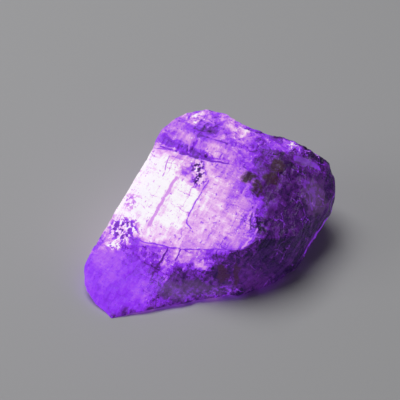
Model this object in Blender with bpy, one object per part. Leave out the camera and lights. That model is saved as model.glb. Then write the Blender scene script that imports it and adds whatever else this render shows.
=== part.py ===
"""A rough piece of purple scapolite, broken from a prismatic crystal.

The stone is one solid.  A hull of hand-placed corners is cut by the crystal's own flat faces.  It is then
given its rounded lobe, its straight cleavage ledges, its shell-like hollows and its chips, and last a low
natural relief.  Lengths are in millimetres here, and the mesh is scaled to metres at the end.  The stone
rests on a flat spot at z = 0, with its longest side along X.
"""

import math

import bmesh
import bpy
from mathutils import Matrix, Vector, noise

MM = 0.001

# Flat faces of the crystal: outward normal and distance from the origin
LEFT_NORMAL = Vector((-0.805, 0.593, 0.0)).normalized()
LEFT_DISTANCE = 12.9
BROAD_NORMAL = Vector((-0.31, -0.45, 0.838)).normalized()
BROAD_DISTANCE = 10.73
REST_NORMAL = Vector((0.0, 0.0, -1.0))

# Direction of the prism edges, in which the two prism faces meet
PRISM_EDGE = LEFT_NORMAL.cross(BROAD_NORMAL).normalized()

# Corners of the main body before the faces are cut, group by group
TOP_CORNERS = [
    (-7.3, 11.9, 16.1), (-6.4, 12.6, 16.7), (-3.4, 15.0, 17.2), (0.3, 15.1, 17.5), (3.2, 14.1, 17.1),
    (3.2, 5.5, 16.7), (6.0, 0.5, 14.3), (13.6, 10.2, 14.1), (16.4, 9.9, 12.9),
]
RIGHT_CORNERS = [
    (18.5, 9.9, 11.5), (19.4, 8.3, 9.6), (19.2, 6.5, 8.5), (18.8, 4.8, 6.6), (17.4, 2.8, 7.8),
    (12.2, -4.4, 9.5), (13.4, -2.6, 1.5), (12.8, -2.8, 2.5),
]
FRONT_CORNERS = [
    (7.3, -6.6, 10.8), (4.2, -7.2, 9.8), (2.3, -6.9, 9.1), (-4.4, -5.0, 7.6), (-10.8, -2.4, 6.7),
    (11.5, -4.6, 1.2), (8.9, -6.6, 1.0), (3.2, -8.3, 0.9), (-2.5, -8.7, 0.5), (-6.5, -7.9, 0.0),
]
LEFT_CORNERS = [(-16.9, -1.2, 5.1), (-17.2, -2.2, 1.4)]
BACK_CORNERS = [
    (-7.5, 11.6, 2.2), (-3.5, 16.0, 9.0), (5.0, 17.0, 8.0), (14.0, 15.0, 6.5), (17.5, 11.5, 6.0),
    (0.0, 14.6, 2.6), (11.0, 12.6, 2.4), (14.8, 6.6, 2.2),
]

# Corners of the flat spot that the stone rests on
REST_CORNERS = [
    (-14.6, -2.2, 0.0), (-8.0, 6.6, 0.0), (-1.0, 10.0, 0.0), (7.6, 9.0, 0.0), (11.4, 3.6, 0.0),
    (9.6, -2.6, 0.0), (3.0, -6.2, 0.0), (-11.5, -6.0, 0.0),
]

# Corners of the rounded lobe at the lower left
LOBE_CORNERS = [
    (-17.0, -1.0, 4.8), (-17.9, -1.7, 3.8), (-18.8, -4.3, 2.8), (-18.9, -5.8, 2.2), (-18.3, -7.2, 1.2),
    (-17.0, -9.4, 0.3), (-14.4, -11.8, 0.0), (-12.1, -11.1, 0.4), (-8.5, -10.6, 0.8), (-5.0, -9.6, 0.6),
    (-12.1, -2.9, 5.4), (-10.3, -6.3, 3.4), (-13.2, -5.4, 4.6), (-15.3, -8.6, 2.6), (-10.2, -9.2, 2.6),
    (-16.2, -4.6, 0.0), (-5.5, -6.0, 0.0), (-12.0, 2.0, 3.0), (-1.4, -8.6, 0.7),
]

# Cleavage steps down the flat faces.  Each outline is drawn on its face in millimetres, as the way along the
# prism edges and the way across them, from the point given as the middle of the face.
BROAD_MIDDLE = Vector((-1.5, 0.8, 11.8))
BROAD_STEP_DEPTH = 0.75
BROAD_STEP = [
    (1.0, -22.0), (4.5, -9.0), (4.9, -7.2), (6.3, -7.5), (5.1, -6.5), (5.3, -5.3), (7.9, -5.1), (5.8, -3.4),
    (5.9, -2.8), (7.0, -2.4), (6.3, -1.4), (7.2, 1.2), (6.6, 4.2), (3.5, 6.9), (0.2, 9.7), (-4.0, 12.0),
    (-30.0, 12.0), (-30.0, -22.0),
]
LEFT_MIDDLE = Vector((-12.2, 5.2, 8.0))
LEFT_STEP_DEPTH = 0.6
LEFT_STEP = [
    (-30.0, -2.0), (-5.0, -2.4), (-3.6, -0.6), (3.5, -1.2), (4.6, -3.4), (30.0, -3.8), (30.0, -30.0),
    (-30.0, -30.0),
]

# Shell-like hollows and chips that are broken out: centre, half sizes, turn about Z in degrees
HOLLOWS = [
    ((8.0, 13.7, 17.5), (5.6, 3.2, 3.0), -18.0),
    ((14.9, 7.2, 14.1), (3.0, 1.5, 1.7), -14.0),
    ((17.3, 2.9, 10.6), (1.7, 1.7, 1.5), 0.0),
    ((15.2, 0.4, 10.9), (1.6, 1.2, 1.5), 35.0),
    ((-15.2, -1.0, 7.7), (1.3, 0.8, 0.9), 30.0),
    ((-13.2, -1.9, 7.7), (1.1, 1.4, 1.1), -20.0),
    ((-11.2, -3.0, 7.5), (0.9, 1.2, 1.0), 10.0),
    ((7.6, -7.4, 9.2), (1.3, 0.7, 1.6), 20.0),
    ((2.6, -8.9, 1.0), (1.5, 1.1, 1.0), 10.0),
    ((-1.4, -9.5, 0.9), (1.3, 1.0, 0.9), -15.0),
    ((6.6, -7.8, 0.8), (1.6, 0.9, 0.8), 12.0),
    ((4.0, 18.6, 11.0), (5.5, 2.4, 4.5), 6.0),
    ((-4.0, 17.0, 4.0), (3.2, 2.2, 3.0), 20.0),
    ((16.8, 14.6, 3.6), (4.0, 2.4, 3.0), -30.0),
    ((17.6, 1.0, 3.0), (1.6, 4.0, 2.2), -30.0),
]

# Mesh: how the cutters and the stone's own surface are divided
CUTTER_HEIGHT = 20.0
BALL_SUBDIVISIONS = 3
SAME_POINT = 0.02
SAME_PLANE_ANGLE = math.radians(0.5)
LONGEST_EDGE = 1.5
SHORTEST_EDGE = 0.05
SPLIT_RATE = 0.7
FLAT_ANGLE = math.radians(0.2)

# Natural relief: how far lumps and dents stand out, how wide they are, and what flat faces keep of them
LUMP_HEIGHT = 0.34
LUMP_WIDTH = 5.5
DENT_HEIGHT = 0.2
DENT_WIDTH = 2.1
RIDGE_HEIGHT = 0.16
RIDGE_WIDTH = 1.3
RIDGE_LENGTH = 7.0
FLAT_FACE_SHARE = 0.12
FLAT_FACE_REACH = 0.04
FLAT_FACE_COSINE = math.cos(math.radians(58.0))
SMOOTHING_ROUNDS = 1
SMOOTHING_SHARE = 0.5
FLAT_FACES = [
    (LEFT_NORMAL, LEFT_DISTANCE),
    (LEFT_NORMAL, LEFT_DISTANCE - LEFT_STEP_DEPTH),
    (BROAD_NORMAL, BROAD_DISTANCE),
    (BROAD_NORMAL, BROAD_DISTANCE - BROAD_STEP_DEPTH),
]

# Relief fades out over this height above the rest face
REST_FADE = 1.4

# Colour of the stone
STONE_COLOUR = (0.23, 0.075, 0.56, 1.0)
STONE_ROUGHNESS = 0.32


def new_object(name, bm):
    """Link a new object that holds the bmesh, and free the bmesh."""
    mesh = bpy.data.meshes.new(name)
    bm.to_mesh(mesh)
    bm.free()
    obj = bpy.data.objects.new(name, mesh)
    bpy.context.scene.collection.objects.link(obj)
    return obj


def hull_of(points):
    """Closed convex body over all the points."""
    bm = bmesh.new()
    for point in points:
        bm.verts.new(point)
    found = bmesh.ops.convex_hull(bm, input=bm.verts)
    inner = set(found["geom_interior"] + found["geom_unused"])
    inner_points = [item for item in inner if isinstance(item, bmesh.types.BMVert)]
    bmesh.ops.delete(bm, geom=inner_points, context="VERTS")
    return bm


def cut_flat(bm, normal, distance):
    """Take off all that stands outside a flat face, and close the cut."""
    everything = bm.verts[:] + bm.edges[:] + bm.faces[:]
    bmesh.ops.bisect_plane(bm, geom=everything, plane_co=normal * distance, plane_no=normal, clear_outer=True)
    bmesh.ops.holes_fill(bm, edges=[edge for edge in bm.edges if edge.is_boundary])
    bmesh.ops.recalc_face_normals(bm, faces=bm.faces)


def step_cutter(normal, floor, middle, outline):
    """Prism over an outline that is drawn on a flat face, from the step's floor outwards."""
    across = PRISM_EDGE.cross(normal)
    origin = middle + normal * (floor - middle.dot(normal))
    bm = bmesh.new()
    base = bm.faces.new([bm.verts.new(origin + PRISM_EDGE * u + across * v) for u, v in outline])
    grown = bmesh.ops.extrude_face_region(bm, geom=[base])
    raised = [item for item in grown["geom"] if isinstance(item, bmesh.types.BMVert)]
    bmesh.ops.translate(bm, verts=raised, vec=normal * CUTTER_HEIGHT)
    bmesh.ops.recalc_face_normals(bm, faces=bm.faces)
    return bm


def ellipsoid(centre, half_sizes, turn):
    """Closed ball stretched to its half sizes and turned about Z."""
    turned = Matrix.Rotation(math.radians(turn), 4, "Z")
    place = Matrix.Translation(centre) @ turned @ Matrix.Diagonal((*half_sizes, 1.0))
    bm = bmesh.new()
    bmesh.ops.create_icosphere(bm, subdivisions=BALL_SUBDIVISIONS, radius=1.0, matrix=place)
    return bm


def combine(body, name, bm, operation):
    """Join a shape to the body, or cut it out, with a Boolean modifier."""
    tool = new_object(name, bm)
    tool.hide_render = True
    tool.display_type = "WIRE"
    modifier = body.modifiers.new(name, "BOOLEAN")
    modifier.operation = operation
    modifier.solver = "EXACT"
    modifier.object = tool


def bake_modifiers(body):
    """Replace the body's mesh by its finished one, take the cutters away, and return the mesh as a bmesh."""
    graph = bpy.context.evaluated_depsgraph_get()
    finished = bpy.data.meshes.new_from_object(body.evaluated_get(graph))
    tools = [modifier.object for modifier in body.modifiers]
    body.modifiers.clear()
    body.data = finished
    for tool in tools:
        bpy.data.objects.remove(tool)
    bm = bmesh.new()
    bm.from_mesh(finished)
    bmesh.ops.remove_doubles(bm, verts=bm.verts, dist=SAME_POINT)
    bmesh.ops.dissolve_limit(bm, angle_limit=SAME_PLANE_ANGLE, verts=bm.verts, edges=bm.edges)
    bmesh.ops.triangulate(bm, faces=bm.faces, quad_method="BEAUTY", ngon_method="BEAUTY")
    return bm


def even_out(bm):
    """Split the long edges, longest first, and turn the edges within flat faces after each round."""
    limit = max(edge.calc_length() for edge in bm.edges)
    while limit > LONGEST_EDGE:
        limit = max(LONGEST_EDGE, limit * SPLIT_RATE)
        chosen = [edge for edge in bm.edges if edge.calc_length() > limit]
        bmesh.ops.subdivide_edges(bm, edges=chosen, cuts=1)
        bmesh.ops.triangulate(bm, faces=[face for face in bm.faces if len(face.verts) > 3])
        flat = [edge for edge in bm.edges if edge.is_manifold and edge.calc_face_angle() < FLAT_ANGLE]
        bmesh.ops.beautify_fill(bm, faces=bm.faces, edges=flat, method="ANGLE")


def on_flat_face(vertex):
    """True where the vertex lies on one of the crystal's flat faces."""
    for normal, distance in FLAT_FACES:
        near = abs(vertex.co.dot(normal) - distance) < FLAT_FACE_REACH
        if near and vertex.normal.dot(normal) > FLAT_FACE_COSINE:
            return True
    return False


def soften_breaks(bm):
    """Round the hull's creases a little where the stone is broken, and keep its flat faces."""
    broken = [vert for vert in bm.verts if vert.co.z > FLAT_FACE_REACH and not on_flat_face(vert)]
    for _ in range(SMOOTHING_ROUNDS):
        bmesh.ops.smooth_vert(
            bm, verts=broken, factor=SMOOTHING_SHARE, use_axis_x=True, use_axis_y=True, use_axis_z=True
        )
    bm.normal_update()


def relief_at(point):
    """How far the natural surface stands over the cut one at a point."""
    across = PRISM_EDGE.cross(BROAD_NORMAL)
    drawn_out = Vector((
        point.dot(PRISM_EDGE) / RIDGE_LENGTH,
        point.dot(across) / RIDGE_WIDTH,
        point.dot(BROAD_NORMAL) / RIDGE_WIDTH,
    ))
    lumps = LUMP_HEIGHT * noise.noise(point / LUMP_WIDTH)
    dents = DENT_HEIGHT * noise.noise(point / DENT_WIDTH)
    ridges = RIDGE_HEIGHT * (1.0 - 2.0 * abs(noise.noise(drawn_out)))
    return lumps + dents + ridges


def add_relief(bm):
    """Move every vertex along its normal by the natural relief."""
    moves = []
    for vert in bm.verts:
        share = FLAT_FACE_SHARE if on_flat_face(vert) else 1.0
        share *= min(1.0, vert.co.z / REST_FADE)
        moves.append(vert.normal * relief_at(vert.co) * share)
    for vert, move in zip(bm.verts, moves):
        vert.co += move


def centre_over_origin(bm):
    """Move the stone so that the middle of its box, seen from above, lies over the origin."""
    low = Vector([min(vert.co[axis] for vert in bm.verts) for axis in range(3)])
    high = Vector([max(vert.co[axis] for vert in bm.verts) for axis in range(3)])
    middle = (low + high) / 2.0
    bmesh.ops.translate(bm, verts=bm.verts, vec=(-middle.x, -middle.y, -low.z))


def stone_material():
    """The stone's own colour, as one plain glossy material."""
    material = bpy.data.materials.new("purple_scapolite")
    material.use_nodes = True
    shader = material.node_tree.nodes["Principled BSDF"]
    shader.inputs["Base Color"].default_value = STONE_COLOUR
    shader.inputs["Roughness"].default_value = STONE_ROUGHNESS
    shader.inputs["Metallic"].default_value = 0.0
    material.diffuse_color = STONE_COLOUR
    return material


def main():
    for obj in list(bpy.data.objects):
        bpy.data.objects.remove(obj)
    upper_corners = TOP_CORNERS + RIGHT_CORNERS + FRONT_CORNERS
    bm = hull_of(upper_corners + LEFT_CORNERS + BACK_CORNERS + REST_CORNERS)
    cut_flat(bm, LEFT_NORMAL, LEFT_DISTANCE)
    cut_flat(bm, BROAD_NORMAL, BROAD_DISTANCE)
    cut_flat(bm, REST_NORMAL, 0.0)
    body = new_object("scapolite_crystal", bm)
    broad_floor = BROAD_DISTANCE - BROAD_STEP_DEPTH
    broad_cutter = step_cutter(BROAD_NORMAL, broad_floor, BROAD_MIDDLE, BROAD_STEP)
    combine(body, "broad_step", broad_cutter, "DIFFERENCE")
    left_floor = LEFT_DISTANCE - LEFT_STEP_DEPTH
    left_cutter = step_cutter(LEFT_NORMAL, left_floor, LEFT_MIDDLE, LEFT_STEP)
    combine(body, "left_step", left_cutter, "DIFFERENCE")
    combine(body, "lobe", hull_of(LOBE_CORNERS), "UNION")
    for number, hollow in enumerate(HOLLOWS):
        combine(body, f"hollow_{number}", ellipsoid(*hollow), "DIFFERENCE")
    bm = bake_modifiers(body)
    even_out(bm)
    bmesh.ops.dissolve_degenerate(bm, edges=bm.edges, dist=SHORTEST_EDGE)
    bmesh.ops.triangulate(bm, faces=[face for face in bm.faces if len(face.verts) > 3])
    bm.normal_update()
    soften_breaks(bm)
    add_relief(bm)
    centre_over_origin(bm)
    bmesh.ops.scale(bm, vec=(MM, MM, MM), verts=bm.verts)
    bm.to_mesh(body.data)
    bm.free()
    body.data.materials.append(stone_material())


main()
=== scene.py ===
import math
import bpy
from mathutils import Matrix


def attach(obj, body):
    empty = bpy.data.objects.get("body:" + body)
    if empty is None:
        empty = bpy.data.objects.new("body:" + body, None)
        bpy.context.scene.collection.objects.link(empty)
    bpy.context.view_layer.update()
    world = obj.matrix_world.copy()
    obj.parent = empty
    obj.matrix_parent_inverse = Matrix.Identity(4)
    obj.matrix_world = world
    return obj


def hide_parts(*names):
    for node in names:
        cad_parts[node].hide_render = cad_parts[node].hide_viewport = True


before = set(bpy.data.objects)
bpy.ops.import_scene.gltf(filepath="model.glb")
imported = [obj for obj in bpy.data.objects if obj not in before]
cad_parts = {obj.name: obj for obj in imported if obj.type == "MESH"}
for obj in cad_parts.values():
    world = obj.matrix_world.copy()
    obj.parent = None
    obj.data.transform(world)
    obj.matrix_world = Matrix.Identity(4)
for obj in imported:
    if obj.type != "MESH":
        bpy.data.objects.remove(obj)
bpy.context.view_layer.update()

from types import SimpleNamespace

import bpy
from mathutils import Matrix, Vector

MM = 0.001
NODE = "scapolite_crystal"

# The crystal's own directions: along the prism edges, across the broad face, and out of it
PRISM_EDGE = Vector((0.49688, 0.67452, 0.54602))
BROAD_NORMAL = Vector((-0.30987, -0.44981, 0.83765))
ACROSS = PRISM_EDGE.cross(BROAD_NORMAL)
CRYSTAL_WAYS = (PRISM_EDGE, ACROSS, BROAD_NORMAL)
LEFT_NORMAL = Vector((-0.80513, 0.59310, 0.0))

# How far out the flat faces lie, and how near and how straight a vertex has to be to belong to one
BROAD_PLANES = (11.23, 11.98)
LEFT_PLANES = (10.94, 11.54)
FLAT_GAP = 0.12
FLAT_FACING = 0.9

# Finish of the edges: vertices merged, angle of a sharp edge, its crease, finer levels, angle shaded smooth
SAME_POINT = 0.002
SHARP_EDGE = 24.0
EDGE_CREASE = 0.85
FINER_LEVELS = 2
SMOOTH_ANGLE = 38.0

# Relief: it starts at a height above the ground and grows over a band; stretch of its lines along the prism
RELIEF_START = 0.15
RELIEF_BAND = 1.0
RELIEF_STRETCH = 5.0

# Name, kind, size, height, which surface, whether it follows the crystal, and settings
RELIEF = [
    ("flakes", "VORONOI", 2.6 * MM, 0.30, "broken", False, {"distance_metric": "DISTANCE", "weight_1": 1.0}),
    ("splinters", "CLOUDS", 1.1, 0.26, "broken", True, {"noise_type": "HARD_NOISE", "noise_depth": 2}),
    ("grains", "CLOUDS", 0.8 * MM, 0.12, "broken", False, {"noise_type": "SOFT_NOISE", "noise_depth": 2}),
    ("growth_lines", "CLOUDS", 0.7, 0.07, "grown", True, {"noise_type": "SOFT_NOISE", "noise_depth": 1}),
]

# Camera: where it looks, how far it stands, how high it looks from, and its lens and film
CAMERA_TARGET = (-1.738, 1.285, 9.0)
CAMERA_DISTANCE = 166.67
CAMERA_ELEVATION = 42.0
CAMERA_LENS = 100.0
CAMERA_FILM = 36.0

# Stage: floor, lights by place, size and power, and the even surround
FLOOR_SIZE = 3.0
FLOOR_COLOUR = (0.50, 0.50, 0.51, 1.0)
FLOOR_ROUGHNESS = 0.75
LIGHTS = [
    ("top_light", (-0.10, 0.12, 0.45), 0.30, 1.25),
    ("side_light", (-0.40, -0.10, 0.20), 0.20, 0.25),
]
SURROUND_COLOUR = (0.60, 0.60, 0.62, 1.0)
SURROUND_STRENGTH = 0.10


# Stone: its surface

def pick_only(obj):
    """Make one object the only selected one and the active one."""
    bpy.ops.object.select_all(action="DESELECT")
    obj.select_set(True)
    bpy.context.view_layer.objects.active = obj


def crystal_frame_object():
    """Empty whose axes run along the crystal's own directions, stretched along the prism edges."""
    empty = bpy.data.objects.new("crystal_axes", None)
    bpy.context.scene.collection.objects.link(empty)
    turn = Matrix(CRYSTAL_WAYS).transposed().to_4x4()
    empty.matrix_world = turn @ Matrix.Diagonal((RELIEF_STRETCH * MM, MM, MM, 1.0))
    return empty


def relief_texture(name, kind, size, settings):
    """Procedural texture for a Displace modifier."""
    texture = bpy.data.textures.new(name, kind)
    texture.noise_scale = size
    for key, value in settings.items():
        setattr(texture, key, value)
    return texture


def press_relief(piece, texture, height, group, axes=None):
    """Move the surface in and out by a texture, where the vertex group says, and apply it."""
    pick_only(piece)
    modifier = piece.modifiers.new(texture.name, "DISPLACE")
    modifier.texture = texture
    modifier.strength = height
    modifier.mid_level = 0.5
    modifier.vertex_group = group
    modifier.texture_coords = "OBJECT" if axes else "LOCAL"
    modifier.texture_coords_object = axes
    bpy.ops.object.modifier_apply(modifier=modifier.name)


def flatness(point, normal):
    """1 where a vertex lies on one of the crystal's flat faces, 0 where the stone is broken."""
    for direction, planes in ((BROAD_NORMAL, BROAD_PLANES), (LEFT_NORMAL, LEFT_PLANES)):
        for plane in planes:
            if abs(point.dot(direction) / MM - plane) < FLAT_GAP and normal.dot(direction) > FLAT_FACING:
                return 1.0
    return 0.0


def soften_edges(piece):
    """Close the copied surface, crease its sharp edges and make it finer."""
    pick_only(piece)
    bpy.ops.object.mode_set(mode="EDIT")
    bpy.ops.mesh.select_all(action="SELECT")
    bpy.ops.mesh.remove_doubles(threshold=SAME_POINT * MM)
    bpy.ops.mesh.customdata_custom_splitnormals_clear()
    bpy.ops.mesh.select_all(action="DESELECT")
    bpy.ops.mesh.select_mode(type="EDGE")
    bpy.ops.mesh.edges_select_sharp(sharpness=math.radians(SHARP_EDGE))
    bpy.ops.transform.edge_crease(value=EDGE_CREASE)
    bpy.ops.object.mode_set(mode="OBJECT")
    smooth = piece.modifiers.new("finer_surface", "SUBSURF")
    smooth.levels = FINER_LEVELS
    smooth.render_levels = FINER_LEVELS
    bpy.ops.object.modifier_apply(modifier=smooth.name)


def group_surfaces(piece):
    """Vertex groups of the broken and the grown surface, both fading out at the ground."""
    broken = piece.vertex_groups.new(name="broken")
    grown = piece.vertex_groups.new(name="grown")
    for vertex in piece.data.vertices:
        free = min(1.0, max(0.0, (vertex.co.z / MM - RELIEF_START) / RELIEF_BAND))
        flat = flatness(vertex.co, vertex.normal)
        broken.add([vertex.index], free * (1.0 - flat), "REPLACE")
        grown.add([vertex.index], free * flat, "REPLACE")


def cut_stone():
    """The stone's visible surface: a finer copy of its solid, with the relief of broken and grown faces."""
    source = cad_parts[NODE]
    piece = bpy.data.objects.new("scapolite_stone", source.data.copy())
    bpy.context.scene.collection.objects.link(piece)
    piece.data.materials.clear()
    soften_edges(piece)
    group_surfaces(piece)
    axes = crystal_frame_object()
    for name, kind, size, height, group, follows, settings in RELIEF:
        texture = relief_texture(name, kind, size, settings)
        press_relief(piece, texture, height * MM, group, axes if follows else None)
    bpy.data.objects.remove(axes)
    pick_only(piece)
    bpy.ops.object.shade_smooth_by_angle(angle=math.radians(SMOOTH_ANGLE))
    return piece


# Node helpers

def put(tree, kind, sockets=None, **settings):
    """Add a node, set it up, and fill its sockets with values or with other sockets."""
    node = tree.nodes.new(kind)
    for key, value in settings.items():
        setattr(node, key, value)
    for name, value in (sockets or {}).items():
        if isinstance(value, bpy.types.NodeSocket):
            tree.links.new(value, node.inputs[name])
        else:
            node.inputs[name].default_value = value
    return node


def math_node(tree, operation, *values):
    """One Math node on values or sockets."""
    return put(tree, "ShaderNodeMath", dict(enumerate(values)), operation=operation).outputs[0]


def vector_node(tree, operation, *values):
    """One Vector Math node on vectors or sockets."""
    return put(tree, "ShaderNodeVectorMath", dict(enumerate(values)), operation=operation).outputs[0]


def measure(tree, operation, *values):
    """A number from vectors: the length of one, or how far one goes along another."""
    return put(tree, "ShaderNodeVectorMath", dict(enumerate(values)), operation=operation).outputs["Value"]


def map_range(tree, value, low, high, to_low=0.0, to_high=1.0):
    """A value moved softly from one range to another and held within it."""
    sockets = {"Value": value, "From Min": low, "From Max": high, "To Min": to_low, "To Max": to_high}
    return put(tree, "ShaderNodeMapRange", sockets, interpolation_type="SMOOTHSTEP").outputs[0]


def voronoi(tree, sockets, **settings):
    """Outputs of a Voronoi texture with straight-sided cells."""
    return put(tree, "ShaderNodeTexVoronoi", sockets, distance="CHEBYCHEV", **settings).outputs


def new_group(name, inputs, outputs):
    """Empty shader node group with named inputs and outputs."""
    tree = bpy.data.node_groups.new(name, "ShaderNodeTree")
    for label, kind in inputs:
        tree.interface.new_socket(name=label, in_out="INPUT", socket_type=kind)
    for label, kind in outputs:
        tree.interface.new_socket(name=label, in_out="OUTPUT", socket_type=kind)
    return tree, tree.nodes.new("NodeGroupInput"), tree.nodes.new("NodeGroupOutput")


FLOAT = "NodeSocketFloat"
VECTOR = "NodeSocketVector"


def shape_group(name, straight):
    """Patch round a point, soft or with straight sides: 1 inside, 0 outside."""
    inputs = [("Point", VECTOR), ("Centre", VECTOR), ("Size", VECTOR), ("Softness", FLOAT)]
    tree, given, made = new_group(name, inputs, [("Mask", FLOAT)])
    away = vector_node(tree, "SUBTRACT", given.outputs["Point"], given.outputs["Centre"])
    share = vector_node(tree, "DIVIDE", away, given.outputs["Size"])
    if straight:
        parts = put(tree, "ShaderNodeSeparateXYZ", {0: vector_node(tree, "ABSOLUTE", share)}).outputs
        reach = math_node(tree, "MAXIMUM", math_node(tree, "MAXIMUM", parts["X"], parts["Y"]), parts["Z"])
    else:
        reach = measure(tree, "LENGTH", share)
    low = math_node(tree, "SUBTRACT", 1.0, given.outputs["Softness"])
    high = math_node(tree, "ADD", 1.0, given.outputs["Softness"])
    tree.links.new(map_range(tree, reach, low, high, 1.0, 0.0), made.inputs["Mask"])


def crack_group():
    """Line from a start point along a way, as wide as given: 1 on it, 0 off it."""
    inputs = [("Point", VECTOR), ("Start", VECTOR), ("Way", VECTOR), ("Width", FLOAT)]
    tree, given, made = new_group("crack_line", inputs, [("Mask", FLOAT)])
    way = given.outputs["Way"]
    away = vector_node(tree, "SUBTRACT", given.outputs["Point"], given.outputs["Start"])
    along, whole = measure(tree, "DOT_PRODUCT", away, way), measure(tree, "DOT_PRODUCT", way, way)
    share = math_node(tree, "DIVIDE", along, whole)
    share = math_node(tree, "MINIMUM", math_node(tree, "MAXIMUM", share, 0.0), 1.0)
    reached = put(tree, "ShaderNodeVectorMath", {0: way, "Scale": share}, operation="SCALE").outputs[0]
    reach = measure(tree, "LENGTH", vector_node(tree, "SUBTRACT", away, reached))
    full = math_node(tree, "MULTIPLY", given.outputs["Width"], FULL_LINE)
    tree.links.new(map_range(tree, reach, full, given.outputs["Width"], 1.0, 0.0), made.inputs["Mask"])


def block_group():
    """Small straight-sided blocks, as the crystal cleaves: a random level for each, and the seams between."""
    inputs = [("Point", VECTOR), ("Scale", FLOAT), ("Width", FLOAT)]
    tree, given, made = new_group("cleavage_blocks", inputs, [("Level", FLOAT), ("Seam", FLOAT)])
    sockets = {"Vector": given.outputs["Point"], "Scale": given.outputs["Scale"]}
    nearest = voronoi(tree, sockets)
    second = voronoi(tree, sockets, feature="F2")
    level = put(tree, "ShaderNodeSeparateColor", {0: nearest["Color"]}).outputs[0]
    gap = math_node(tree, "SUBTRACT", second["Distance"], nearest["Distance"])
    tree.links.new(level, made.inputs["Level"])
    tree.links.new(map_range(tree, gap, 0.0, given.outputs["Width"], 1.0, 0.0), made.inputs["Seam"])


def hairline_group():
    """Straight thin lines at uneven distances, each seen only in places."""
    inputs = [("Place", FLOAT), ("Point", VECTOR), ("Scale", FLOAT), ("Width", FLOAT)]
    tree, given, made = new_group("hairlines", inputs, [("Mask", FLOAT)])
    sockets = {"W": given.outputs["Place"], "Scale": given.outputs["Scale"]}
    settings = {"voronoi_dimensions": "1D", "feature": "DISTANCE_TO_EDGE"}
    gap = put(tree, "ShaderNodeTexVoronoi", sockets, **settings).outputs[0]
    line = map_range(tree, gap, 0.0, given.outputs["Width"], 1.0, 0.0)
    places = put(tree, "ShaderNodeTexNoise", {"Vector": given.outputs["Point"], **LINE_PLACES}).outputs[0]
    seen = map_range(tree, places, *LINE_SEEN)
    tree.links.new(math_node(tree, "MULTIPLY", line, seen), made.inputs["Mask"])


def grain_group():
    """Fine noise pushed to a mask between two levels."""
    inputs = [("Point", VECTOR), ("Scale", FLOAT), ("Detail", FLOAT), ("Low", FLOAT), ("High", FLOAT)]
    tree, given, made = new_group("grain", inputs, [("Mask", FLOAT)])
    sockets = {"Vector": given.outputs["Point"], "Roughness": GRAIN_ROUGHNESS}
    sockets.update({name: given.outputs[name] for name in ("Scale", "Detail")})
    value = put(tree, "ShaderNodeTexNoise", sockets).outputs["Fac"]
    tree.links.new(map_range(tree, value, given.outputs["Low"], given.outputs["High"]), made.inputs["Mask"])


# Stone: the painted light inside it, from 0, dark, to 1, white hot; it is painted into the colour and the
# emission. Places and sizes are in millimetres.
LIT_SIDE = (-9.5, 3.0, 9.0)
LIGHT_AT_SIDE = 0.977
LIGHT_LOSS = 0.0268
LEAST_LIGHT = 0.12
LIGHT_DIRECTION = Vector((-0.7, 0.35, 0.6)).normalized()

# Break between the lit part and the painted, darker right part, its band, the painted light right of it, and
# how strongly
RIGHT_BREAK = Vector((1.0, -0.172, -0.19))
BREAK_BAND = (4.6, 6.2)
RIGHT_LIGHT = 0.205
RIGHT_STRENGTH = 0.75

# Where the broad face starts on the way out of the crystal, and where the lobe ends along it
BROAD_START = (10.9, 11.1)
LOBE_END = (-7.6, -6.4)

# How straight a surface looks down or to the front, from not at all to fully
LOOKS_DOWN = (0.2, 0.9)
LOOKS_FRONT = (0.55, 0.8)

# What the painted light gains where the surface faces it or looks down, on the broad face, and at the front:
# painted shading by the way the surface faces
FACING_GAIN = 0.16
DOWN_GAIN = 0.45
BROAD_GAIN = 0.12
FRONT_GAIN = -0.07
# Middle levels round which the facing and the painted relief shade lighten or darken
USUAL_FACING = 0.45
USUAL_RELIEF_SHADE = 0.46
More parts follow.
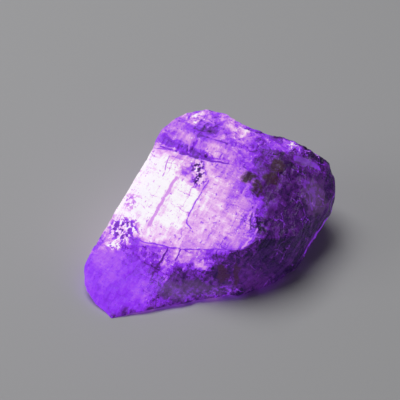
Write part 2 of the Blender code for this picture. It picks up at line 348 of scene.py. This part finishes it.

# Patches of painted light: centre, size, softness of the edge, light, strength
LIGHT_PATCHES = [
    ((-9.0, -9.0, 3.5), (9.0, 5.0, 4.0), 0.30, 0.50, 0.8),
    ((12.5, -1.0, 10.0), (9.0, 8.0, 8.0), 0.35, 0.15, 0.5),
    ((-15.5, -9.0, 2.5), (5.5, 6.0, 3.6), 0.25, 0.52, 0.85),
    ((-15.2, -6.4, 4.4), (2.4, 1.8, 1.6), 0.50, 0.60, 0.7),
    ((-10.8, -6.4, 4.8), (1.5, 3.6, 2.4), 0.45, 0.44, 0.7),
    ((-2.0, 8.5, 16.8), (9.0, 6.0, 3.0), 0.30, 0.60, 0.75),
    ((-1.0, 8.2, 17.0), (2.7, 1.5, 1.2), 0.35, 0.42, 0.9),
    ((-2.9, 11.0, 17.1), (1.6, 1.0, 1.2), 0.60, 0.78, 0.8),
    ((4.0, 9.4, 16.9), (2.4, 3.0, 1.8), 0.50, 0.84, 0.95),
    ((10.5, 7.0, 14.9), (3.6, 1.5, 1.2), 0.40, 0.60, 0.9),
    ((0.5, -10.3, 4.0), (7.5, 3.0, 2.8), 0.40, 0.27, 0.7),
    ((-1.9, -10.7, 2.2), (5.0, 2.0, 1.6), 0.40, 0.28, 0.85),
    ((-1.5, -9.6, 6.4), (1.8, 1.5, 1.2), 0.40, 0.66, 0.8),
    ((4.4, -2.8, 13.4), (2.8, 5.0, 3.0), 0.45, 0.78, 0.7),
    ((4.2, -7.0, 11.2), (2.4, 2.6, 2.0), 0.45, 0.74, 0.7),
    ((4.0, 2.6, 15.9), (2.6, 2.2, 1.6), 0.40, 0.74, 0.85),
    ((-3.5, -8.6, 6.6), (3.6, 1.8, 1.5), 0.45, 0.80, 0.85),
    ((-8.0, -7.4, 5.6), (2.2, 1.8, 1.6), 0.45, 0.62, 0.8),
    ((-10.5, -11.2, 2.4), (1.4, 1.4, 1.4), 0.60, 0.60, 0.7),
    ((-3.8, 2.6, 13.4), (1.0, 0.9, 0.9), 0.60, 0.52, 0.7),
    ((15.3, 0.4, 10.6), (1.8, 2.2, 2.0), 0.40, 0.30, 0.7),
    ((5.2, 6.0, 16.6), (3.2, 1.0, 0.9), 0.50, 0.72, 0.6),
    ((9.0, 0.5, 13.4), (3.2, 3.0, 2.6), 0.50, 0.22, 0.5),
]

# Patches of painted light with straight sides along the prism edges: middle and half size along, across and
# out, then as above
LIGHT_TILES = [
    ((2.2, -9.2, 11.2), (5.2, 2.9, 1.2), 0.16, 1.05, 0.9),
    ((2.3, -3.0, 11.2), (3.3, 1.9, 1.2), 0.16, 1.02, 0.9),
    ((8.8, 3.9, 11.3), (0.9, 0.95, 0.8), 0.12, 0.42, 0.75),
    ((10.2, -7.5, 11.6), (0.75, 3.8, 0.9), 0.30, 0.42, 0.9),
    ((10.7, -3.4, 11.7), (0.5, 1.2, 0.9), 0.25, 0.42, 0.8),
    ((11.9, -2.6, 11.9), (0.8, 1.3, 0.7), 0.30, 0.82, 0.8),
    ((11.6, -6.8, 11.9), (0.9, 0.9, 0.7), 0.30, 0.80, 0.7),
    ((9.0, 1.6, 11.4), (3.6, 2.6, 1.2), 0.40, 0.62, 0.6),
    ((6.4, 1.0, 11.2), (2.4, 1.9, 0.9), 0.35, 0.90, 0.7),
    ((3.4, 4.2, 11.2), (2.0, 2.6, 0.9), 0.35, 0.86, 0.6),
    ((8.6, 6.1, 11.0), (0.9, 0.9, 0.7), 0.25, 0.46, 0.6),
]

# How strong the fine marks are: centre, size, softness and strength
CONTRAST_PATCHES = [
    ((-15.5, -9.5, 2.5), (6.5, 6.5, 3.6), 0.25, 0.28),
    ((13.0, -1.0, 10.0), (9.0, 8.5, 9.0), 0.30, 0.50),
    ((8.5, -9.0, 4.5), (6.0, 3.5, 5.0), 0.30, 0.35),
]

# Crowds of specks, the lighter ones painted sparkle and sheen: centre, size, how fine, and how much darker or
# lighter
CROWDS = [
    ((-1.9, 2.0, 13.8), (1.05, 2.1, 1.7), 1.4, -0.72),
    ((-13.2, -2.9, 7.0), (2.3, 2.2, 1.5), 1.5, -0.58),
    ((-14.5, -4.8, 5.4), (1.1, 0.7, 0.7), 1.9, 0.60),
    ((-12.0, 0.6, 9.4), (1.6, 1.2, 1.2), 1.6, -0.30),
    ((-1.0, -10.8, 1.8), (5.0, 1.4, 0.8), 2.2, 0.18),
    ((6.0, -6.5, 11.6), (1.6, 2.0, 1.6), 1.7, -0.26),
    ((-2.3, 11.2, 17.0), (2.4, 1.2, 1.0), 1.8, 0.25),
    ((15.0, 0.5, 10.8), (2.0, 2.4, 2.0), 1.4, 0.16),
]

# Points of a line, its width, light and strength
LINES = [
    ([(18.2, 1.6, 6.4), (17.3, 0.4, 5.7), (14.0, -4.2, 3.3)], 0.45, 0.42, 0.85),
    ([(-5.3, 2.2, 12.6), (-9.2, -3.3, 8.2)], 0.38, 0.74, 0.9),
    ([(-0.4, 0.6, 13.6), (-2.2, -1.7, 11.7), (-3.5, -3.7, 10.2), (-3.6, -4.5, 9.6), (-3.0, -5.4, 9.4)],
     0.16, 0.46, 0.9),
    ([(-6.3, 5.5, 14.1), (-7.3, 3.0, 12.3)], 0.16, 0.60, 0.8),
    ([(2.4, 5.0, 17.0), (1.5, 3.1, 16.3), (0.5, 2.1, 14.8)], 0.18, 0.40, 0.8),
    ([(-7.6, 6.9, 14.7), (-3.0, 4.6, 14.75), (0.5, 2.9, 15.2), (4.9, 1.1, 15.5)], 0.2, 0.30, 0.8),
    ([(5.9, -4.7, 13.0), (5.6, -6.1, 12.2), (5.5, -7.6, 11.4)], 0.20, 0.24, 0.85),
    ([(6.5, -7.8, 11.6), (5.4, -9.0, 10.6), (4.2, -9.8, 9.6)], 0.22, 0.80, 0.8),
    ([(-11.5, -4.7, 6.6), (-7.9, -6.4, 7.1), (-4.4, -7.8, 7.5), (2.8, -9.6, 9.3)], 0.16, 0.40, 0.8),
    ([(-6.4, -7.2, 7.0), (-7.1, -7.6, 5.8), (-7.9, -8.1, 4.6), (-8.6, -8.7, 3.6), (-9.0, -9.8, 3.2)],
     0.24, 0.20, 0.9),
    ([(-4.5, -7.8, 7.4), (-5.2, -8.3, 5.9)], 0.18, 0.30, 0.85),
    ([(-3.2, 6.3, 16.3), (-3.4, 5.1, 15.0)], 0.22, 0.76, 0.8),
    ([(-2.6, 6.0, 16.2), (-2.8, 4.7, 14.9)], 0.24, 0.32, 0.85),
    ([(12.6, 5.6, 13.6), (14.8, 5.4, 12.8), (16.2, 5.2, 12.2)], 0.70, 0.52, 0.85),
    ([(14.3, 0.3, 11.4), (14.8, -1.7, 9.7)], 0.24, 0.46, 0.7),
    ([(12.9, -1.3, 11.3), (13.7, -3.0, 9.9)], 0.20, 0.40, 0.6),
    ([(-1.6, 7.0, 16.9), (0.2, 5.9, 17.0), (2.4, 4.8, 16.9)], 0.2, 0.30, 0.8),
]

# Brown stains: centre and size
STAINS = [
    ((5.6, -0.2, 14.9), (1.1, 1.0, 1.2)),
    ((6.7, -1.9, 14.1), (1.0, 1.4, 1.2)),
    ((8.6, 0.3, 14.3), (1.3, 1.2, 1.3)),
    ((9.7, 2.7, 14.3), (0.9, 1.3, 1.1)),
    ((1.5, -10.5, 5.4), (0.7, 0.9, 1.9)),
    ((3.5, -10.5, 5.0), (0.55, 0.9, 2.4)),
]

# Frosted places, rougher, with a painted grey sheen and highlight: centre and size
FROST_AND_SHEEN = [
    ((15.5, 0.3, 10.5), (2.2, 2.6, 2.2)),
    ((14.3, 5.5, 13.0), (2.6, 0.8, 0.9)),
    ((-2.8, -10.6, 2.3), (5.0, 1.6, 1.3)),
]

# Colours of the painted light in the stone from dark to white hot
PAINTED_LIGHT_COLOURS = [
    (0.0, (14, 2, 24)), (0.1, (42, 10, 66)), (0.2, (72, 24, 100)), (0.3, (100, 36, 152)),
    (0.4, (124, 40, 206)), (0.5, (144, 50, 240)), (0.6, (168, 84, 236)), (0.7, (198, 126, 232)),
    (0.8, (224, 162, 234)), (0.9, (244, 202, 244)), (1.0, (255, 252, 252)),
]
STAIN_COLOUR = (54, 25, 40)
BODY_COLOUR = (0.03, 0.012, 0.05)
# Grey of the painted sheen on the frosted places
FROST_SHEEN_COLOUR = (0.10, 0.055, 0.12)

# Grains: scale, detail, and the levels that a mask runs between
GRAINS = {
    "fine": (1.1, 7.0, 0.2, 0.8),
    "lines_along": (1.3, 5.0, 0.25, 0.75),
    "lines_across": (1.2, 5.0, 0.25, 0.75),
    # Glints are painted highlights
    "painted_glints": (3.2, 2.0, 0.66, 0.70),
    "flecks": (2.1, 3.0, 0.60, 0.68),
    "mottle": (1.3, 4.0, 0.36, 0.50),
}
GRAIN_ROUGHNESS = 0.62
CROWD_GRAIN = (2.0, 0.46, 0.56)

# Softness of the crowds, stains and frosted places with their painted sheen, and the least strength of a
# mottled stain
CROWD_SOFTNESS = 0.5
STAIN_SOFTNESS = 0.25
FROST_AND_SHEEN_SOFTNESS = 0.6
LEAST_STAIN = 0.75

# How lines along and across the crystal and its blocks are stretched
ALONG_STRETCH = (0.16, 1.0, 1.0)
ACROSS_STRETCH = (1.0, 0.2, 1.0)
BLOCK_STRETCH = (0.55, 1.0, 1.0)

# Cleavage blocks: scale, share of their level and of the seams; width of a seam; weaker on the broad face
BLOCKS = [(0.62, 0.24, -0.12), (1.6, 0.18, -0.08)]
SEAM_WIDTH = 0.05
FEWER_ON_BROAD = 0.75

# Dark hairlines by crystal direction and bright cracks lit by painted light by way, with their scales and
# widths, and where they show
HAIRLINES = [("Y", 0.55), ("X", 0.45)]
LIT_CRACKS = [((0.8, 0.3, -0.5), 0.7), ((0.2, 0.9, 0.4), 0.6)]
HAIRLINE_WIDTH = 0.05
LIT_CRACK_WIDTH = 0.06
LINE_PLACES = {"Scale": 0.35, "Detail": 3.0}
LINE_SEEN = (0.5, 0.6)

# Share of a crack's width that is full
FULL_LINE = 0.35

# How much each kind of mark adds to the painted light; glints are painted highlights, and the relief turned to
# the light is painted shading
MARK_SHARES = {
    "fine": 0.15, "lines_along": 0.14, "lines_across": 0.14, "turned": 0.10,
    "painted_glints": 0.26, "flecks": -0.24, "hairlines": -0.22, "lit_cracks": 0.50,
}

# Edges of the patches made uneven by noise: the noise, and how far it moves the different edges
SHIVER = {"Scale": 0.7, "Detail": 5.0}
RAGGED, UNEVEN, BENT, WAVY = 4.0, 2.4, 1.6, 0.8

# Bumps, painted glow, see-through body and what it swallows
BUMP_STRENGTH = 0.5
BUMP_DISTANCE = 0.00025
PAINTED_GLOW_STRENGTH = 0.85
BODY_SHARE = 0.85
TRANSMISSION = 0.35
REFRACTION = 1.56
SHINE = 0.22
ROUGHNESS = 0.24
FROST_ROUGHNESS = 0.25
FROST_SHEEN_STRENGTH = 0.6
ABSORBED = {"Color": (0.42, 0.12, 0.72, 1.0), "Density": 200.0}


def to_linear(channel):
    """Linear light of one channel that is given from 0 to 255."""
    value = channel / 255.0
    return value / 12.92 if value <= 0.04045 else ((value + 0.055) / 1.055) ** 2.4


def linear_colour(channels):
    """Linear colour of three channels that are given from 0 to 255."""
    return tuple(to_linear(channel) for channel in channels)


def blend_colour(tree, factor, first, second):
    """Mix two colours by a mask."""
    node = put(tree, "ShaderNodeMix", None, data_type="RGBA")
    for index, value in ((0, factor), (6, first), (7, second)):
        if isinstance(value, bpy.types.NodeSocket):
            tree.links.new(value, node.inputs[index])
        elif isinstance(value, tuple):
            node.inputs[index].default_value = (*value, 1.0)
        else:
            node.inputs[index].default_value = value
    return node.outputs[2]


def use_group(tree, name, sockets):
    """Place a node group and give back its outputs."""
    node = tree.nodes.new("ShaderNodeGroup")
    node.node_tree = bpy.data.node_groups[name]
    for label, value in sockets.items():
        if isinstance(value, bpy.types.NodeSocket):
            tree.links.new(value, node.inputs[label])
        else:
            node.inputs[label].default_value = value
    return node.outputs


def patch(tree, point, centre, size, softness, name="soft_patch"):
    """Mask of a patch round a point."""
    sockets = {"Point": point, "Centre": centre, "Size": size, "Softness": softness}
    return use_group(tree, name, sockets)[0]


def grain(tree, point, scale, detail, low, high):
    """Mask of fine noise."""
    sockets = {"Point": point, "Scale": scale, "Detail": detail, "Low": low, "High": high}
    return use_group(tree, "grain", sockets)[0]


def hairlines(tree, place, point, scale, width):
    """Mask of thin lines that lie across a direction."""
    sockets = {"Place": place, "Point": point, "Scale": scale, "Width": width}
    return use_group(tree, "hairlines", sockets)[0]


def crack(tree, point, points, width):
    """Mask of a line through several points."""
    masks = []
    for start, end in zip(points, points[1:]):
        sockets = {"Point": point, "Start": start, "Way": tuple(Vector(end) - Vector(start)), "Width": width}
        masks.append(use_group(tree, "crack_line", sockets)[0])
    return strongest(tree, masks)


def move_toward(tree, light, mask, value, strength=1.0):
    """Light moved towards a value by a mask."""
    share = math_node(tree, "MULTIPLY", mask, strength) if strength != 1.0 else mask
    node = put(tree, "ShaderNodeMix", {0: share, 2: light, 3: value}, data_type="FLOAT")
    return node.outputs[0]


def add_share(tree, light, mask, amount, middle=0.5):
    """Light made lighter or darker by a mask round its middle."""
    away = math_node(tree, "SUBTRACT", mask, middle) if middle else mask
    return math_node(tree, "MULTIPLY_ADD", away, amount, light)


def strongest(tree, masks):
    """Highest of several masks."""
    found = masks[0]
    for mask in masks[1:]:
        found = math_node(tree, "MAXIMUM", found, mask)
    return found


# Stone: its material

def stone_points(tree, place):
    """Places on the stone in millimetres: plain, made uneven, and in the crystal's own directions."""
    point = put(tree, "ShaderNodeMapping", {"Vector": place, "Scale": (1.0 / MM,) * 3}).outputs[0]
    shiver = put(tree, "ShaderNodeTexNoise", {"Vector": point, **SHIVER}).outputs["Color"]
    shift = vector_node(tree, "SUBTRACT", shiver, (0.5, 0.5, 0.5))

    def shaken(reach):
        sockets = {0: shift, 1: (reach,) * 3, 2: point}
        return put(tree, "ShaderNodeVectorMath", sockets, operation="MULTIPLY_ADD").outputs[0]

    def in_crystal(where):
        ways = [measure(tree, "DOT_PRODUCT", where, tuple(way)) for way in CRYSTAL_WAYS]
        return put(tree, "ShaderNodeCombineXYZ", dict(enumerate(ways))).outputs[0]

    at = SimpleNamespace(point=point, ragged=shaken(RAGGED), uneven=shaken(UNEVEN), wavy=shaken(WAVY))
    at.along = in_crystal(point)
    at.along_bent = in_crystal(shaken(BENT))
    at.blocky = vector_node(tree, "MULTIPLY", in_crystal(at.wavy), BLOCK_STRETCH)
    at.bent_parts = put(tree, "ShaderNodeSeparateXYZ", {0: at.along_bent}).outputs
    return at


def stone_regions(tree, at):
    """Masks of the broad face above the lobe, and of what lies right of the break."""
    out = put(tree, "ShaderNodeSeparateXYZ", {0: at.along}).outputs["Z"]
    on_broad = map_range(tree, out, *BROAD_START)
    off_lobe = map_range(tree, at.bent_parts["X"], *LOBE_END)
    broad = math_node(tree, "MULTIPLY", on_broad, off_lobe)
    right = map_range(tree, measure(tree, "DOT_PRODUCT", at.ragged, tuple(RIGHT_BREAK)), *BREAK_BAND)
    return broad, right


def stone_grains(tree, at):
    """Masks of the mottling and of the lines both ways along the crystal."""
    streak = vector_node(tree, "MULTIPLY", at.along, ALONG_STRETCH)
    cross = vector_node(tree, "MULTIPLY", at.along, ACROSS_STRETCH)
    return {
        "fine": grain(tree, at.point, *GRAINS["fine"]),
        "lines_along": grain(tree, streak, *GRAINS["lines_along"]),
        "lines_across": grain(tree, cross, *GRAINS["lines_across"]),
    }


def fading_light(tree, at, facing, broad, right):
    """Painted light that fades with the way from the lit side, with painted shading that changes with the way
    the surface faces.
    """
    distance = measure(tree, "LENGTH", vector_node(tree, "SUBTRACT", at.point, LIT_SIDE))
    light = math_node(tree, "MULTIPLY_ADD", distance, -LIGHT_LOSS, LIGHT_AT_SIDE)
    light = math_node(tree, "MAXIMUM", light, LEAST_LIGHT)
    lit = measure(tree, "DOT_PRODUCT", facing, tuple(LIGHT_DIRECTION))
    down = map_range(tree, measure(tree, "DOT_PRODUCT", facing, (0.0, 0.0, -1.0)), *LOOKS_DOWN)
    front = map_range(tree, measure(tree, "DOT_PRODUCT", facing, (0.0, -1.0, 0.0)), *LOOKS_FRONT)
    light = add_share(tree, light, lit, FACING_GAIN, USUAL_FACING)
    light = add_share(tree, light, down, DOWN_GAIN, 0.0)
    light = add_share(tree, light, broad, BROAD_GAIN, 0.0)
    light = move_toward(tree, light, right, RIGHT_LIGHT, RIGHT_STRENGTH)
    return add_share(tree, light, front, FRONT_GAIN, 0.0)


def add_patches(tree, at, light):
    """Painted light moved to the level of each patch and each straight-sided patch."""
    for centre, size, softness, value, strength in LIGHT_PATCHES:
        light = move_toward(tree, light, patch(tree, at.ragged, centre, size, softness), value, strength)
    for centre, size, softness, value, strength in LIGHT_TILES:
        mask = patch(tree, at.along_bent, centre, size, softness, "straight_patch")
        light = move_toward(tree, light, mask, value, strength)
    return light


def fine_marks(tree, at, grains, turned, broad, right):
    """Blocks where the stone is broken, mottling, lines along the crystal, painted shading of the relief,
    painted glints, flecks, thin lines and cracks lit by painted light.
    """
    marks = 0.0
    for scale, level_share, seam_share in BLOCKS:
        sockets = {"Point": at.blocky, "Scale": scale, "Width": SEAM_WIDTH}
        level, seam = list(use_group(tree, "cleavage_blocks", sockets))[:2]
        marks = add_share(tree, marks, level, level_share)
        marks = add_share(tree, marks, seam, seam_share, 0.0)
    broken = math_node(tree, "SUBTRACT", 1.0, math_node(tree, "MULTIPLY", broad, FEWER_ON_BROAD))
    marks = math_node(tree, "MULTIPLY", marks, broken)
    for name, mask in grains.items():
        marks = add_share(tree, marks, mask, MARK_SHARES[name])
    marks = add_share(tree, marks, turned, MARK_SHARES["turned"], USUAL_RELIEF_SHADE)
    # Painted glints lighten the stone in specks, flecks darken it
    for name in ("painted_glints", "flecks"):
        marks = add_share(tree, marks, grain(tree, at.point, *GRAINS[name]), MARK_SHARES[name], 0.0)
    for direction, scale in HAIRLINES:
        mask = hairlines(tree, at.bent_parts[direction], at.point, scale, HAIRLINE_WIDTH)
        marks = add_share(tree, marks, mask, MARK_SHARES["hairlines"], 0.0)
    # Bright cracks in the right part: painted light along fine cracks
    for way, scale in LIT_CRACKS:
        mask = hairlines(tree, measure(tree, "DOT_PRODUCT", at.uneven, way), at.wavy, scale, LIT_CRACK_WIDTH)
        mask = math_node(tree, "MULTIPLY", mask, right)
        marks = add_share(tree, marks, mask, MARK_SHARES["lit_cracks"], 0.0)
    return marks


def mark_strength(tree, at):
    """How strong the fine marks are from place to place."""
    strength = 1.0
    for centre, size, softness, value in CONTRAST_PATCHES:
        strength = move_toward(tree, strength, patch(tree, at.ragged, centre, size, softness), value)
    return strength


def add_crowds_and_lines(tree, at, light):
    """Painted light with crowds of small specks, the lighter ones painted sparkle and sheen, and with the
    single lines and cracks.
    """
    for centre, size, scale, depth in CROWDS:
        mask = patch(tree, at.uneven, centre, size, CROWD_SOFTNESS)
        specks = math_node(tree, "MULTIPLY", mask, grain(tree, at.point, scale, *CROWD_GRAIN))
        light = add_share(tree, light, specks, depth, 0.0)
    for points, width, value, strength in LINES:
        light = move_toward(tree, light, crack(tree, at.wavy, points, width), value, strength)
    return light


def light_colour(tree, light):
    """Colour of the painted light in the stone by its level."""
    ramp = put(tree, "ShaderNodeValToRGB", {"Fac": light})
    elements = ramp.color_ramp.elements
    while len(elements) < len(PAINTED_LIGHT_COLOURS):
        elements.new(0.5)
    for element, (position, channels) in zip(elements, PAINTED_LIGHT_COLOURS):
        element.position = position
        element.color = (*linear_colour(channels), 1.0)
    return ramp.outputs["Color"]


def stone_material():
    """Purple scapolite with painted light, as if lit up from inside: see-through, with the painted light
    fading away from its left face.
    """
    shape_group("soft_patch", straight=False)
    shape_group("straight_patch", straight=True)
    for make_group in (crack_group, grain_group, block_group, hairline_group):
        make_group()
    # The material paints the light inside the stone into its colour and emission
    material = bpy.data.materials.new("glowing_scapolite")
    material.use_nodes = True
    tree = material.node_tree
    tree.nodes.clear()

    coordinates = put(tree, "ShaderNodeTexCoord").outputs
    at = stone_points(tree, coordinates["Object"])
    broad, right = stone_regions(tree, at)
    grains = stone_grains(tree, at)
    height = math_node(tree, "ADD", math_node(tree, "ADD", grains["fine"], grains["lines_along"]),
                       grains["lines_across"])
    sockets = {"Height": height, "Strength": BUMP_STRENGTH, "Distance": BUMP_DISTANCE}
    bump = put(tree, "ShaderNodeBump", sockets).outputs[0]
    # Painted shade and light of the fine relief: how far the bumped surface turns to the light's direction
    turned = measure(tree, "DOT_PRODUCT", bump, tuple(LIGHT_DIRECTION))

    light = fading_light(tree, at, coordinates["Normal"], broad, right)
    light = add_patches(tree, at, light)
    marks = fine_marks(tree, at, grains, turned, broad, right)
    light = math_node(tree, "MULTIPLY_ADD", marks, mark_strength(tree, at), light)
    light = add_crowds_and_lines(tree, at, light)
    painted_glow = light_colour(tree, light)

    stains = strongest(tree, [patch(tree, at.uneven, centre, size, STAIN_SOFTNESS) for centre, size in STAINS])
    # Frosted places: rougher, and with a painted grey sheen and highlight over the painted glow
    frost_and_sheen = strongest(tree, [patch(tree, at.ragged, centre, size, FROST_AND_SHEEN_SOFTNESS) for centre, size in FROST_AND_SHEEN])
    mottle = map_range(tree, grain(tree, at.wavy, *GRAINS["mottle"]), 0.0, 1.0, LEAST_STAIN, 1.0)
    painted_glow = blend_colour(tree, math_node(tree, "MULTIPLY", stains, mottle), painted_glow, linear_colour(STAIN_COLOUR))
    painted_glow = blend_colour(tree, math_node(tree, "MULTIPLY", frost_and_sheen, FROST_SHEEN_STRENGTH), painted_glow, FROST_SHEEN_COLOUR)
    # The painted glow goes into the emission, and a share of it into the base colour
    shader = put(tree, "ShaderNodeBsdfPrincipled", {
        "Base Color": blend_colour(tree, BODY_SHARE, painted_glow, BODY_COLOUR),
        "Roughness": math_node(tree, "MULTIPLY_ADD", frost_and_sheen, FROST_ROUGHNESS, ROUGHNESS),
        "IOR": REFRACTION,
        "Transmission Weight": TRANSMISSION,
        "Specular IOR Level": SHINE,
        "Emission Color": painted_glow,
        "Emission Strength": PAINTED_GLOW_STRENGTH,
        "Normal": bump,
    })
    inside = put(tree, "ShaderNodeVolumeAbsorption", ABSORBED)
    put(tree, "ShaderNodeOutputMaterial", {"Surface": shader.outputs[0], "Volume": inside.outputs[0]})
    return material


# Stage

def floor_material():
    """Plain pale grey."""
    material = bpy.data.materials.new("plain_floor")
    material.use_nodes = True
    shader = material.node_tree.nodes["Principled BSDF"]
    shader.inputs["Base Color"].default_value = FLOOR_COLOUR
    shader.inputs["Roughness"].default_value = FLOOR_ROUGHNESS
    return material


def lay_floor():
    """Wide plain floor under the stone."""
    bpy.ops.mesh.primitive_plane_add(size=FLOOR_SIZE, location=(0.0, 0.0, 0.0))
    floor = bpy.context.active_object
    floor.name = "floor"
    floor.data.materials.append(floor_material())


def hang_light(name, place, size, power):
    """Soft square light that looks at the middle of the floor."""
    data = bpy.data.lights.new(name, "AREA")
    data.shape = "SQUARE"
    data.size = size
    data.energy = power
    light = bpy.data.objects.new(name, data)
    bpy.context.scene.collection.objects.link(light)
    light.location = place
    light.rotation_euler = (-Vector(place)).to_track_quat("-Z", "Y").to_euler()


def light_stage():
    """Plain soft studio light: one wide light above, one to the left, and an even surround."""
    for name, place, size, power in LIGHTS:
        hang_light(name, place, size, power)
    world = bpy.data.worlds.new("studio")
    world.use_nodes = True
    surround = world.node_tree.nodes["Background"].inputs
    surround["Color"].default_value = SURROUND_COLOUR
    surround["Strength"].default_value = SURROUND_STRENGTH
    bpy.context.scene.world = world


def set_camera():
    """Camera at the picture's viewing angle."""
    tilt = math.radians(CAMERA_ELEVATION)
    back = Vector((0.0, -math.cos(tilt), math.sin(tilt)))
    data = bpy.data.cameras.new("camera")
    data.lens = CAMERA_LENS
    data.sensor_width = CAMERA_FILM
    data.clip_start = 0.01
    camera = bpy.data.objects.new("camera", data)
    bpy.context.scene.collection.objects.link(camera)
    camera.location = (Vector(CAMERA_TARGET) + back * CAMERA_DISTANCE) * MM
    camera.rotation_euler = (math.radians(90.0) - tilt, 0.0, 0.0)
    bpy.context.scene.camera = camera


stone = cut_stone()
stone.data.materials.append(stone_material())
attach(stone, "root")
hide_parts(NODE)
lay_floor()
light_stage()
set_camera()
bpy.context.scene.view_settings.view_transform = "Standard"
